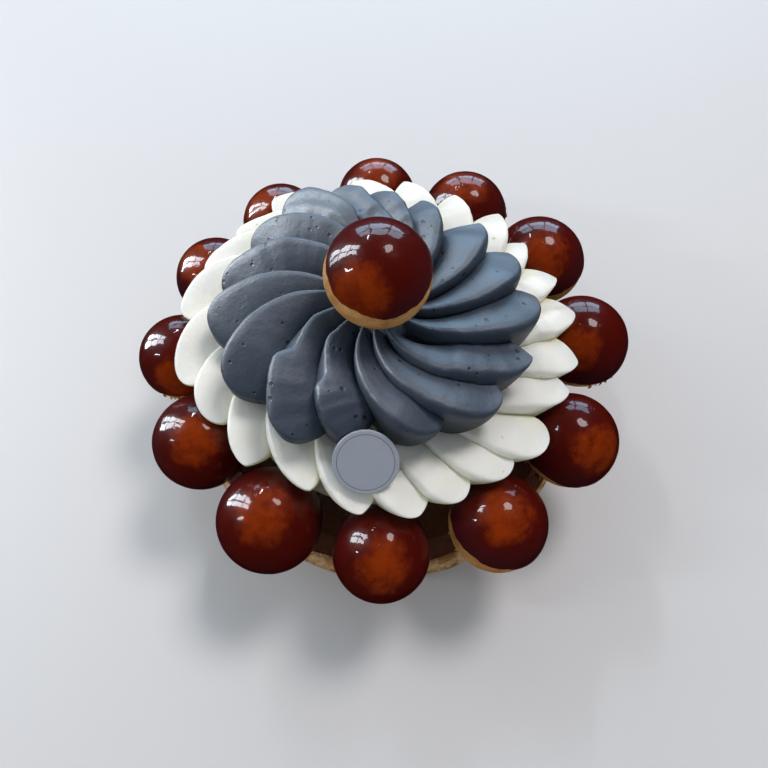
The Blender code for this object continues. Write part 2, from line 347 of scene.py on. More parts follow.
creamLook = {
    "white": {"light": (0.80, 0.795, 0.735, 1), "deep": (0.76, 0.73, 0.49, 1),
              "bubbleShade": (0.62, 0.58, 0.46, 1), "bubbles": 0.05, "roughness": 0.48, "gloss": 0.25,
              "soft": 0.35, "softRadius": (1.0, 0.75, 0.45), "softScale": 0.0040},
    "grey": {"light": (0.041, 0.060, 0.090, 1), "deep": (0.017, 0.026, 0.040, 1),
             "bubbleShade": (0.008, 0.010, 0.013, 1), "bubbles": 0.40, "roughness": 0.50, "gloss": 0.64,
             "soft": 0.10, "softRadius": (0.6, 0.8, 1.0), "softScale": 0.0010},
}


def makeCream(name, look):
    material, tree, shader = newMaterial(name)
    place = objectPlace(tree)
    grain = useGroup(tree, creamGrain, {"Place": place, "Bubble share": look["bubbles"]})
    # painted shade: darker down each petal's face into the creases and in the pores, plus a slow random
    # change of tone
    creaseShade = ramp(shadeAttribute(tree, "lift"), 0.35, 0.95, 1.0, 0.0)
    shadeAndTone = (0.8 - grain["Height"]) * 0.4 + (grain["Tone"] * 0.4 + creaseShade * 0.75)
    colour = mixColour(ramp(shadeAndTone, 0.15, 0.95), look["light"], look["deep"])
    feedAll(shader, {
        # the bubbles' colour is painted shade inside the tiny air pits, which the bump also dents
        "Base Color": mixColour(grain["Bubbles"] * 0.92, colour, look["bubbleShade"]),
        "Roughness": ramp(grain["Tone"], 0.3, 0.7, look["roughness"], look["roughness"] + 0.1),
        "Normal": bumpOf(grain["Height"], 0.6, 0.00045), "Specular IOR Level": look["gloss"],
        "Subsurface Weight": look["soft"], "Subsurface Radius": look["softRadius"],
        "Subsurface Scale": look["softScale"]})
    return material


whiteCreamLook = makeCream("whiteWhippedCream", creamLook["white"])
greyCreamLook = makeCream("greyWhippedCream", creamLook["grey"])

# piped petals, from a line of tips: each petal is one sheet of the grid, bent and closed into a wedge

petalSection = {
    "across": [(0, 0), (0.04, 0.01), (0.14, 0.10), (0.28, 0.30), (0.42, 0.53), (0.54, 0.72), (0.62, 0.82),
               (0.68, 0.89), (0.73, 0.935), (0.78, 0.965), (0.82, 0.98), (0.86, 0.985), (0.89, 0.977),
               (0.92, 0.955), (1, 0)],
    "lift": [(0, 0), (0.04, 0.30), (0.14, 0.55), (0.28, 0.77), (0.42, 0.905), (0.54, 0.975), (0.62, 1.0),
             (0.68, 1.0), (0.73, 0.975), (0.78, 0.915), (0.82, 0.82), (0.86, 0.66), (0.89, 0.42),
             (0.92, 0), (1, 0)],
    "sharp": (0, 0.04, 0.92, 1),
}
pipedHand = {  # how uneven a hand pipes: shares of a petal, then metres
    "tipLift": 0.42, "tipFade": -0.90, "crestSway": 0.35, "kinkStart": 0.30, "kinkStop": 0.12,
    "kinkDepth": 0.22, "ridgeAt": -0.05, "ridgeWidth": 0.22, "foldsAlong": 3.0, "foldsAcross": 10.0,
    "lines": 0.0006, "lumps": 0.0005, "grain": 0.00016,
}


def buildPetalSwirl():
    sizes = ["Inner", "End", "Width", "Bend", "Crest height", "Crest rise", "Rise from", "Rise to",
             "Crest fall", "Fall from", "Fall to", "Foot low", "Foot high", "Foot from", "Foot to",
             "Hand wobble", "Taper", "End share", "Core radius", "Core low", "Core top", "Centre X"]
    tree, value, outside = newTree(
        "petalSwirl", "GeometryNodeTree",
        [("Tips", "Geometry", None)] + [(size, "Float", 0.0) for size in sizes]
        + [("Rows", "Int", 36), ("Around", "Int", 51), ("Room", "Object", None), ("Cream", "Material", None)],
        [("Geometry", "Geometry", None)])

    grid = sheetOf(tree, value["Rows"], value["Around"])
    petals = through("RealizeInstances", through("InstanceOnPoints", value["Tips"], {"Instance": grid}))

    along = calc("SINE", attributeOf(tree, "along") * (math.pi / 2))
    names = ("around", "tipAngle", "reach", "blunt", "linePlace", "wild", "petal", "sweep", "undercut")
    around, tipAngle, reach, blunt, linePlace, wild, petal, sweep, undercut = [
        attributeOf(tree, name) for name in names]

    length = reach - value["Inner"]
    radius = length * along + value["Inner"]
    closing = clampOf((radius - (reach - value["End"])) / value["End"])
    tipRow = along > 0.9999
    opened = (along > 0.001) - tipRow
    narrowing = calc("SQRT", 1.0 - closing ** blunt)
    halfWidth = value["Width"] * 0.5 * radius * narrowing * opened
    fullness = calc("SQRT", closing ** value["Taper"] * pipedHand["tipFade"] + 1.0) * opened

    # the guiding line bends anticlockwise on its way out
    angle = tipAngle - sweep * (1.0 - along ** value["Bend"])
    slope = along ** (value["Bend"] - 1.0) * sweep * value["Bend"] * radius / length
    outwards = angle + calc("ARCTANGENT", slope)

    # the section, with a hand's wobble in its crest
    strip = joinXyz(along * 5.0, petal * 3.7, 0.5)
    sway = evenNoise(strip, 1.3, 2.0, 0.6)
    notch = evenNoise(vectorCalc("ADD", strip, (9.0, 4.0, 2.0)), 2.2, 3.0, 0.7)
    across = curveOf(around, petalSection["across"], petalSection["sharp"]) * 2.0 - 1.0
    lift = curveOf(around, petalSection["lift"], petalSection["sharp"])
    onFace = ramp(lift, 0.15, 0.4)
    lift = closing * closing * pipedHand["tipLift"] * onFace * (1.0 - lift) + lift
    nearCrest = ramp(lift, 0.6, 1.0)
    lift = notch * wild * nearCrest * value["Hand wobble"] + lift
    swayed = sway * wild * (nearCrest * pipedHand["crestSway"])
    kinkAt = attributeOf(tree, "kinkAt")
    kinkFrom, kinkTo = kinkAt - pipedHand["kinkStart"], kinkAt + pipedHand["kinkStop"]
    kink = ramp(along, kinkFrom, kinkAt) * ramp(along, kinkAt, kinkTo, 1.0, 0.0)
    kink = kink * attributeOf(tree, "kink") * nearCrest
    ridge = bellOf(across, pipedHand["ridgeAt"], pipedHand["ridgeWidth"]) * attributeOf(tree, "ridge")
    folds = calc("SINE", along * pipedHand["foldsAlong"] + across * pipedHand["foldsAcross"])
    ridge = (ridge + folds * onFace * attributeOf(tree, "folds")) * ramp(along, 0.2, 0.6)
    lift = lift - (kink * pipedHand["kinkDepth"] + ridge)
    across = across + (swayed - kink)

    sideways = halfWidth * (across - linePlace)
    x = sideways * calc("SINE", outwards) + radius * calc("COSINE", angle)
    y = radius * calc("SINE", angle) - sideways * calc("COSINE", outwards)
    away = vectorCalc("LENGTH", joinXyz(x, y, 0.0))
    foot = ramp(away, value["Foot from"], value["Foot to"], value["Foot low"], value["Foot high"])
    rise = ramp(radius, value["Rise from"], value["Rise to"], 0.0, value["Crest rise"])
    fall = ramp(radius, value["Fall from"], value["Fall to"], 0.0, value["Crest fall"])
    crest = value["Crest height"] + rise - fall
    foot = (crest - foot) * (closing * closing * undercut) + foot
    tall = switchOf(tipRow, lift * fullness, value["End share"])
    position = joinXyz(x + value["Centre X"], y, foot + (crest - foot) * tall)

    petals = moveTo(storeOn(storeOn(petals, "lift", lift), "across", across), position)
    apart = through("SplitToInstances", petals, {"Group ID": wholeOf(petal)}, domain="POINT")
    closed = through("FlipFaces", through("MergeByDistance", apart, {"Distance": 0.000002}))

    # piping lines along each petal and soft lumps everywhere
    where = give(tree, "GeometryNodeInputPosition")
    lines = evenNoise(joinXyz(along * 1.6, attributeOf(tree, "across") * 5.0, petal), 1.5, 3.0, 0.6)
    lumps, grain = evenNoise(where, 85.0, 2.0, 0.5), evenNoise(where, 420.0, 2.0, 0.5)
    push = lines * pipedHand["lines"] + lumps * pipedHand["lumps"]
    push = grain * pipedHand["grain"] + push
    lumpy = pushOut(closed, push * ramp(attributeOf(tree, "lift"), 0.1, 0.4))

    # the petals and their core are fused into one closed skin, less the room for the plaque
    core = {"Vertices": 64, "Radius": value["Core radius"], "Depth": value["Core top"] - value["Core low"]}
    middle = joinXyz(value["Centre X"], 0.0, (value["Core top"] + value["Core low"]) * 0.5)
    core = through("Transform", give(tree, "GeometryNodeMeshCylinder", core), {"Translation": middle})
    fuse = newNode(tree, "GeometryNodeMeshBoolean", operation="UNION", solver="MANIFOLD")
    for mesh in (lumpy, core):
        feedAll(fuse, {"Mesh 2": mesh})
    asked = {"Object": value["Room"]}
    room = give(tree, "GeometryNodeObjectInfo", asked, "Geometry", transform_space="ORIGINAL")
    both = {"Mesh 1": Value(fuse.outputs[0]), "Mesh 2": room}
    carved = give(tree, "GeometryNodeMeshBoolean", both, operation="DIFFERENCE", solver="MANIFOLD")
    feedAll(outside, {"Geometry": finishOf(carved, value["Cream"])})
    return tree


petalSwirl = buildPetalSwirl()

plaqueSize = {"radius": 0.0103, "thickness": 0.0012, "rounding": 0.0004, "place": (-0.0054, -0.0511, 0.0700),
              "slope": 38, "gap": 0.0003, "clearing": 0.010}


def plaquePlace():
    slope = math.radians(plaqueSize["slope"])
    return Matrix.Translation(Vector(plaqueSize["place"])) @ Matrix.Rotation(slope, 4, "X")


def makePlaqueRoom():  # what is cut from the cream where the plaque lies
    low = -plaqueSize["thickness"] / 2 - plaqueSize["gap"]
    high = plaqueSize["clearing"]
    maker = bmesh.new()
    radius = plaqueSize["radius"] + plaqueSize["gap"]
    bmesh.ops.create_cone(maker, cap_ends=True, segments=96, radius1=radius, radius2=radius, depth=high - low,
                          matrix=plaquePlace() @ Matrix.Translation((0, 0, (high + low) / 2)))
    mesh = bpy.data.meshes.new("plaqueRoom")
    maker.to_mesh(mesh)
    maker.free()
    return addObject("plaqueRoom", mesh)


plaqueRoom = makePlaqueRoom()
whiteSwirl = {
    "Inner": 0.040, "End": 0.0145, "Width": 0.360, "Bend": 1.2,
    "Crest height": 0.0610, "Crest rise": 0.0032, "Rise from": 0.040, "Rise to": 0.057,
    "Crest fall": 0.0034, "Fall from": 0.057, "Fall to": 0.067,
    "Foot low": 0.0460, "Foot high": 0.0545, "Foot from": 0.052, "Foot to": 0.067,
    "Hand wobble": 0.12, "Taper": 2.4, "End share": 0.28,
    "Core radius": 0.052, "Core low": 0.0263, "Core top": 0.0540, "Centre X": -0.0030,
    "Rows": 34, "Around": 51, "Room": plaqueRoom, "Cream": whiteCreamLook,
}
# degrees round the swirl's middle, mm from it, where across the petal its line runs, degrees of sweep,
# how wild the hand was
whiteTips = [
    (127, 68.5, 0.41, 26, 0.5), (143.5, 66.0, 0.35, 28, 0.4), (159.5, 66.7, 0.30, 30, 0.5),
    (176, 67.6, 0.13, 32, 0.4), (198.7, 66.6, 0.01, 33, 0.3), (214.4, 62.0, -0.26, 23, 0.4),
    (230.8, 63.6, 0.41, 28, 0.3), (251.1, 60.1, 0.41, 31, 0.5), (267.5, 64.0, 0.42, 20, 0.3),
    (283.5, 65.5, 0.24, 16, 0.4), (297.0, 64.7, 0.09, 12, 0.7), (313.0, 65.1, -0.03, 12, 0.3),
    (326.0, 68.1, 0.04, 12, 0.4), (341.9, 67.4, 0.56, 18, 0.3), (351.8, 68.7, 0.56, 10, 0.3),
    (367.5, 69.0, 0.57, 12, 1.0), (380.1, 67.2, 0.73, 12, 0.8), (395.5, 64.5, 0.63, 16, 0.4),
    (409.5, 67.0, 0.57, 18, 0.4), (425.5, 65.0, 0.57, 20, 0.5), (443, 65.5, 0.52, 22, 0.4),
    (460, 65.5, 0.46, 24, 0.5),
]
greySwirl = {
    "Inner": 0.009, "End": 0.0100, "Width": 0.540, "Bend": 1.35,
    "Crest height": 0.0800, "Crest rise": 0.0030, "Rise from": 0.010, "Rise to": 0.028,
    "Crest fall": 0.0050, "Fall from": 0.034, "Fall to": 0.051,
    "Foot low": 0.0623, "Foot high": 0.0658, "Foot from": 0.044, "Foot to": 0.054,
    "Hand wobble": 0.16, "Taper": 2.4, "End share": 0.28,
    "Core radius": 0.030, "Core low": 0.0623, "Core top": 0.0700, "Centre X": -0.0030,
    "Rows": 48, "Around": 51, "Room": plaqueRoom, "Cream": greyCreamLook,
}
greyTips = [
    (193.7, 51.8, 0.01, 28, 0.3), (220.4, 48.7, -0.16, 40, 0.3), (245.8, 48.8, 0.12, 46, 0.7),
    (262.5, 44.4, 0.29, 38, 0.8), (299.0, 43.6, -0.04, 43, 0.4), (323.5, 48.4, 0.14, 49, 0.6),
    (341.4, 51.9, 0.69, 54, 0.8), (366.6, 51.4, 0.32, 38, 0.4), (388.0, 48.6, 0.21, 34, 0.3),
    (406.0, 48.8, 0.63, 36, 0.3), (433.0, 47.0, 0.69, 39, 0.4), (457.0, 46.5, 0.46, 40, 0.8),
    (473, 50.0, 0.35, 38, 0.6), (490, 54.0, 0.35, 34, 0.5), (511.9, 49.8, 0.31, 46, 0.5),
    (533.0, 51.5, 0.43, 48, 0.5),
]
petalEnds = {  # overhanging at +X, blunt and down at -X
    "whitePetals": {"blunt": 2.0, "bluntChange": 0.15, "undercut": 0.65, "undercutChange": 0.20},
    "greyPetals": {"blunt": 2.5, "bluntChange": 0.5, "undercut": 0.45, "undercutChange": 0.30},
}
# where along a petal and how far the piping slipped, and where a petal has a second ridge or folds
oddPetals = {
    "greyPetals": {
        2: {"kinkAt": 0.50, "kink": 0.42}, 3: {"kinkAt": 0.58, "kink": 0.30},
        6: {"kinkAt": 0.80, "kink": 0.14}, 12: {"kinkAt": 0.70, "kink": 0.15, "ridge": -0.10},
        13: {"kinkAt": 0.45, "kink": 0.20, "folds": 0.018}},
    "whitePetals": {1: {"kinkAt": 0.85, "kink": 0.15}, 15: {"ridge": 0.16}, 16: {"ridge": 0.05}},
}


def makeSwirl(name, tips, values, node, slotName):
    mesh = bpy.data.meshes.new(name)
    rows, ends = [], petalEnds[name]
    for number, (degrees, distance, linePlace, sweep, wild) in enumerate(tips):
        turn = math.radians(degrees)
        rows.append({
            "tipAngle": turn, "reach": distance * 0.001, "wild": wild, "petal": float(number),
            "sweep": math.radians(sweep),
            "blunt": ends["blunt"] - ends["bluntChange"] * math.cos(turn),
            "undercut": ends["undercut"] + ends["undercutChange"] * math.cos(turn),
            "linePlace": linePlace, "kinkAt": 0.5, "kink": 0.0, "ridge": 0.0, "folds": 0.0,
        })
        rows[-1].update(oddPetals[name].get(number, {}))
    mesh.from_pydata([(0, 0, 0)] * len(rows), [], [])
    for key in rows[0]:
        mesh.attributes.new(key, "FLOAT", "POINT").data.foreach_set("value", [row[key] for row in rows])
    thing = runTree(addObject(name, mesh), petalSwirl, values)
    thing.data.transform(Matrix.Translation(cakeShift))
    thing.data.set_sharp_from_angle(angle=math.radians(48))
    handIn(thing, slotName, node)
    print(name, "is piped:", len(thing.data.polygons), "faces")


makeSwirl("whitePetals", whiteTips, whiteSwirl, "white_cream", "white_cream")
makeSwirl("greyPetals", greyTips, greySwirl, "grey_cream", "grey_cream")
bpy.data.objects.remove(plaqueRoom, do_unlink=True)

# choux puffs, dipped in caramel: a dome to the caramel's lip, then bare pastry down to a flat seat


def buildDippedPuff():
    sizes = ["Radius", "Lean", "Toward", "Seat", "Press", "Lip", "Lip width", "Waves", "Seed"]
    tree, value, outside = newTree(
        "dippedPuff", "GeometryNodeTree",
        [("Edge line", "Geometry", None), ("Centre", "Vector", None), ("Glow", "Vector", None)]
        + [(size, "Float", 0.0) for size in sizes]
        + [("Rows", "Int", 90), ("Around", "Int", 121), ("Skin", "Material", None)],
        [("Geometry", "Geometry", None)])
    sheet = sheetOf(tree, value["Rows"], value["Around"])
    along, around = attributeOf(tree, "along"), attributeOf(tree, "around")
    turn = around * math.tau
    column = wholeOf(around * (value["Around"] - 1.0))
    line = {"Geometry": value["Edge line"], "Value": attributeOf(tree, "edge"), "Index": column}
    edge = give(tree, "GeometryNodeSampleIndex", line, data_type="FLOAT", domain="POINT", clamp=True)

    lipStart, lipEnd = 0.50, 0.62  # shares of the rows
    inDome = clampOf(along / lipStart)
    inLip = clampOf((along - lipStart) / (lipEnd - lipStart))
    inBelly = clampOf((along - lipEnd) / (1.0 - lipEnd))
    tilt = value["Lip width"] * inLip + edge * inDome
    tilt = (math.pi - (edge + value["Lip width"])) * inBelly + tilt

    sine = calc("SINE", tilt)
    direction = joinXyz(sine * calc("COSINE", turn), sine * calc("SINE", turn), calc("COSINE", tilt))
    seeded = vectorCalc("ADD", direction, joinXyz(value["Seed"], 0.0, 0.0))
    wave = evenNoise(seeded, 1.6, 2.0, 0.5)
    ripple = evenNoise(seeded, 5.0, 2.0, 0.5)
    craggy = evenNoise(seeded, 9.0, 4.0, 0.65)
    lipShape = curveOf(inLip, [(0, 1), (0.35, 0.93), (0.62, 0.55), (0.8, 0.12), (1, 0)])
    bead = ramp(tilt, edge - 0.35, edge) * lipShape
    reach = value["Lip"] * lipShape + (value["Radius"] - value["Lip"])
    smoothPush = wave * 0.55 + ripple * 0.16
    push = switchOf(inLip > 0.5, smoothPush, craggy * 0.8 + wave * 0.55)
    reach = push * value["Waves"] + reach
    reach = bead * (value["Lip"] * 0.18) + reach
    depth = splitXyz(value["Centre"])["Z"] - value["Seat"] + value["Press"]
    stretch = ramp(tilt, edge, math.radians(122))
    scaled = vectorCalc("MULTIPLY", direction, joinXyz(reach, reach, stretch * (depth - reach) + reach))
    axis = joinXyz(calc("SINE", value["Toward"]) * -1.0, calc("COSINE", value["Toward"]), 0.0)
    lean = {"Vector": scaled, "Axis": axis, "Angle": value["Lean"]}
    leaning = give(tree, "ShaderNodeVectorRotate", lean, rotation_type="AXIS_ANGLE")
    placed = splitXyz(vectorCalc("ADD", leaning, value["Centre"]))

    puff = storeOn(sheet, "glaze", ramp(inLip, 0.55, 0.75, 1.0, 0.0))
    # painted glow: how squarely the surface faces the painted glow's direction, toward the camera
    puff = storeOn(puff, "glow", vectorCalc("DOT_PRODUCT", vectorCalc("NORMALIZE", leaning), value["Glow"]))
    puff = storeOn(puff, "fromTop", tilt / edge)
    puff = moveTo(puff, joinXyz(placed["X"], placed["Y"], calc("MAXIMUM", placed["Z"], value["Seat"])))
    feedAll(outside, {"Geometry": closedSkin(puff, value["Skin"], turned=True)})
    return tree


def wobble(angle, seed):  # an uneven closed wave from -1 to 1, the same that shapes the solid puffs
    draw = random.Random(seed)
    waves = [(count, draw.uniform(0, math.tau), draw.uniform(0.5, 1.0)) for count in (2, 3, 5, 7)]
    total = sum(weight for count, phase, weight in waves)
    return sum(weight * math.sin(count * angle + phase) for count, phase, weight in waves) / total


caramelLook = {
    "amber": (0.225, 0.027, 0.0016, 1), "red": (0.066, 0.0038, 0.0018, 1), "dark": (0.054, 0.0068, 0.0080, 1),
    "bare": (0.62, 0.34, 0.125, 1), "baked": (0.36, 0.145, 0.040, 1),
    "roughness": 0.32, "bareRoughness": 0.75, "shine": 0.04,
    "coat": 0.9, "coatAtEdge": 0.2, "coatRoughness": 0.04, "coatIor": 1.27,
}
caramelNoise = {  # scale, detail, roughness and distortion
    "clouds": (62.0, 3.0, 0.55, 0.3), "streaks": (300.0, 4.0, 0.7, 0.4), "blots": (125.0, 3.0, 0.6, 0.8),
    "waves": (130.0, 2.0, 0.45), "threads": (420.0, 2.0, 0.5, 1.0), "dimples": (430.0, 2.0, 0.5),
}


def makeCaramelSkin():
    material, tree, shader = newMaterial("caramelChoux")
    place = objectPlace(tree)
    glaze, glow, fromTop = [shadeAttribute(tree, name) for name in ("glaze", "glow", "fromTop")]
    mottling = ("clouds", "streaks", "blots")
    clouds, streaks, blots = [evenNoise(place, *caramelNoise[name]) for name in mottling]
    # red to amber by random mottling, plus a painted glow on the side of each puff that faces the camera
    warmth = streaks + (blots + (clouds * 0.9 + ramp(glow, 0.62, 1.0)))
    caramel = mixColour(ramp(warmth, 0.36, 1.30), caramelLook["red"], caramelLook["amber"])
    # darker toward the caramel's lip, where it lies thicker, except where mottling or the painted glow warms
    # it
    thick = ramp(clouds * -0.8 + fromTop, 0.45, 0.95) * ramp(warmth, 0.85, 0.15)
    caramel = mixColour(thick, caramel, caramelLook["dark"])
    oven = useGroup(tree, ovenBrowning, {"Place": place})
    bare = mixColour(oven["Browning"], caramelLook["bare"], caramelLook["baked"])
    coat = glaze * ramp(fromTop, 0.5, 0.95, caramelLook["coat"], caramelLook["coatAtEdge"])

    drawn = vectorCalc("MULTIPLY", place, (1.0, 0.35, 1.0))
    threads = ramp(noiseOf(drawn, *caramelNoise["threads"]), 0.66, 0.74)
    gloss = threads * 0.10 + noiseOf(place, *caramelNoise["waves"]) * 1.2
    gloss = noiseOf(place, *caramelNoise["dimples"]) * 0.14 + gloss
    normal = bumpOf(switchOf(glaze > 0.5, oven["Height"], gloss), 0.5, 0.0006)
    roughness = ramp(glaze, 0.0, 1.0, caramelLook["bareRoughness"], caramelLook["roughness"], False)
    feedAll(shader, {
        "Base Color": mixColour(glaze, bare, caramel), "Roughness": roughness, "Coat Weight": coat,
        "Coat Roughness": caramelLook["coatRoughness"], "Coat IOR": caramelLook["coatIor"],
        "Specular IOR Level": caramelLook["shine"], "Normal": normal, "Coat Normal": normal})
    return material


dippedPuff = buildDippedPuff()
caramelSkin = makeCaramelSkin()
puffSizes = {"edgeUneven": 3.5, "jag": 1.1, "lip": 0.00045, "lipWidth": 0.075, "press": 0.0008,
             "waves": 0.0004, "shrink": 0.991, "rows": 92, "columns": 120}
ringHeight, ringSeat = 0.0410, 0.0263
# degrees round the cake, distance, radius, lean, its direction, degrees to the caramel's edge, and where the
# caramel's painted glow sits as the camera sees it (right, up)
ringPuffs = [
    (-90, 0.0723, 0.0161, 32, -92, 96, (0.0, -0.05)), (-121, 0.0725, 0.0177, 18, -100, 96, (0.0, 0.25)),
    (-151, 0.0723, 0.0167, 33, -50, 92, (0.1, 0.1)), (-178, 0.0738, 0.0158, 5, 150, 92, (0.1, -0.6)),
    (154, 0.0726, 0.0156, 6, 100, 94, (-0.4, 0.3)), (126, 0.0723, 0.0155, 6, 60, 94, (-0.4, 0.3)),
    (94, 0.0723, 0.0158, 8, 120, 94, (0.0, 0.5)), (65, 0.0718, 0.0168, 14, 160, 94, (-0.1, 0.5)),
    (36, 0.0723, 0.0178, 14, 130, 90, (0.0, 0.1)), (6, 0.0723, 0.0174, 4, 60, 94, (-0.4, -0.2)),
    (-26, 0.0721, 0.0169, 12, 40, 97, (0.4, -0.1)), (-58, 0.0723, 0.0169, 17, 35, 85, (0.1, 0.35)),
]
# the top puff's painted glow is given as the camera sees it (right, up)
topPuff = {"centre": (-0.0030, 0.0, 0.0950), "seat": 0.0805, "shape": (0.0172, 13, -65, 67),
           "glow": (-0.35, -0.45)}


def makePuff(name, centre, seat, shape, glow, seed):
    radius, lean, toward, edge = shape
    draw = random.Random(100 + seed)
    jags = [(count, draw.uniform(0, math.tau)) for count in (11, 17, 29)]
    columns = puffSizes["columns"]
    edges = []
    for column in range(columns + 1):
        turn = math.tau * column / columns
        jag = sum(math.sin(count * turn + phase) for count, phase in jags) / len(jags)
        uneven = edge + puffSizes["edgeUneven"] * wobble(turn, seed)
        edges.append(math.radians(uneven + puffSizes["jag"] * jag))
    mesh = bpy.data.meshes.new(name)
    mesh.from_pydata([(0, 0, 0)] * len(edges), [], [])
    mesh.attributes.new("edge", "FLOAT", "POINT").data.foreach_set("value", edges)
    # the painted glow's direction: toward the camera, shifted right and up as listed
    rise = math.radians(cameraView["elevation"])
    up = Vector((0, math.sin(rise), math.cos(rise)))
    back = Vector((0, -math.cos(rise), math.sin(rise)))
    facing = math.sqrt(max(0.0, 1 - glow[0] ** 2 - glow[1] ** 2))
    thing = runTree(addObject(name, mesh), dippedPuff, {
        "Centre": centre, "Glow": glow[0] * Vector((1, 0, 0)) + glow[1] * up + facing * back,
        "Radius": radius * puffSizes["shrink"], "Lean": math.radians(lean), "Toward": math.radians(toward),
        "Seat": seat, "Press": puffSizes["press"], "Lip": puffSizes["lip"],
        "Lip width": puffSizes["lipWidth"], "Waves": puffSizes["waves"], "Seed": 3.1 * seed,
        "Rows": puffSizes["rows"], "Around": columns + 1, "Skin": caramelSkin})
    thing.data.transform(Matrix.Translation(cakeShift))
    keepInside(thing.data)
    thing.data.set_sharp_from_angle(angle=math.radians(70))
    handIn(thing, "caramel_choux", name.replace("dipped_", ""))


def makePuffs():
    for number, (degrees, distance, radius, lean, toward, edge, glow) in enumerate(ringPuffs, start=1):
        angle = math.radians(degrees)
        centre = (distance * math.cos(angle), distance * math.sin(angle), ringHeight)
        shape = (radius, lean, toward, edge)
        makePuff(f"dipped_ring_puff_{number:02d}", centre, ringSeat, shape, glow, number)
    makePuff("dipped_top_puff", topPuff["centre"], topPuff["seat"], topPuff["shape"], topPuff["glow"], 20)
    print("puffs are dipped:", len(ringPuffs) + 1)

# loose flakes of caramel and crust, broken off at the puffs' edges


def buildFlakes():
    tree, value, outside = newTree(
        "looseFlakes", "GeometryNodeTree",
        [("Spots", "Geometry", None), ("Thickness", "Float", 0.3), ("Raggedness", "Float", 0.5),
         ("Skin", "Material", None)],
        [("Geometry", "Geometry", None)])
    ball = give(tree, "GeometryNodeMeshIcoSphere", {"Radius": 1.0, "Subdivisions": 3})
    flat = through("Transform", ball, {"Scale": joinXyz(1.0, 0.7, value["Thickness"])})
    size, turn = attributeOf(tree, "size"), attributeOf(tree, "turn")
    turned = give(tree, "FunctionNodeEulerToRotation", {0: joinXyz(turn * 2.3, turn * 3.7, turn)})
    laid = {"Instance": flat, "Scale": size, "Rotation": turned}
    flakes = through("RealizeInstances", through("InstanceOnPoints", value["Spots"], laid))
    ragged = evenNoise(give(tree, "GeometryNodeInputPosition"), 1500.0, 2.0, 0.6) * value["Raggedness"]
    flakes = storeOn(pushOut(flakes, ragged * size), "glaze", calc("SINE", turn * 5.0) > 0.0)
    feedAll(outside, {"Geometry": closedSkin(flakes, value["Skin"])})
    return tree


flakeSpots = [  # puff, its radius in mm, degrees round it, degrees from its top, how many, spread in degrees
    (2, 17.0, -42, 108, 9, 9), (10, 17.2, -62, 104, 8, 11), (8, 16.6, 4, 84, 5, 8),
    (4, 15.6, -95, 106, 7, 14), (12, 16.4, -150, 106, 6, 12), (11, 16.6, -140, 108, 5, 12),
    (1, 15.6, -10, 112, 4, 10),
]
flakeLook = {"thickness": 0.3, "raggedness": 0.9, "smallest": 0.00035, "largest": 0.0010,
             "spreadAround": 1.6, "spreadDown": 0.5, "seed": 9}


def makeFlakes():
    draw = random.Random(flakeLook["seed"])
    spots, sizes, turns = [], [], []
    for puff, radius, around, down, count, spread in flakeSpots:
        degrees, distance = ringPuffs[puff - 1][:2]
        angle = math.radians(degrees)
        centre = Vector((distance * math.cos(angle), distance * math.sin(angle), ringHeight))
        for flake in range(count):
            turn = math.radians(around + draw.uniform(-spread, spread) * flakeLook["spreadAround"])
            tilt = math.radians(down + draw.uniform(-spread, spread) * flakeLook["spreadDown"])
            away = Vector((math.sin(tilt) * math.cos(turn), math.sin(tilt) * math.sin(turn), math.cos(tilt)))
            spots.append(centre + away * radius * 0.001 + cakeShift)
            sizes.append(draw.uniform(flakeLook["smallest"], flakeLook["largest"]))
            turns.append(draw.uniform(0, math.tau))
    mesh = bpy.data.meshes.new("caramelFlakes")
    mesh.from_pydata(spots, [], [])
    for key, values in (("size", sizes), ("turn", turns)):
        mesh.attributes.new(key, "FLOAT", "POINT").data.foreach_set("value", values)
    values = {"Thickness": flakeLook["thickness"], "Raggedness": flakeLook["raggedness"], "Skin": caramelSkin}
    thing = runTree(addObject("caramelFlakes", mesh), buildFlakes(), values)
    keepInside(thing.data)
    handIn(thing, "caramel_choux")
    print("flakes are scattered:", len(spots))

# the baked base: a flaky disc with a bulging round of choux on it, both a sheet turned about the middle


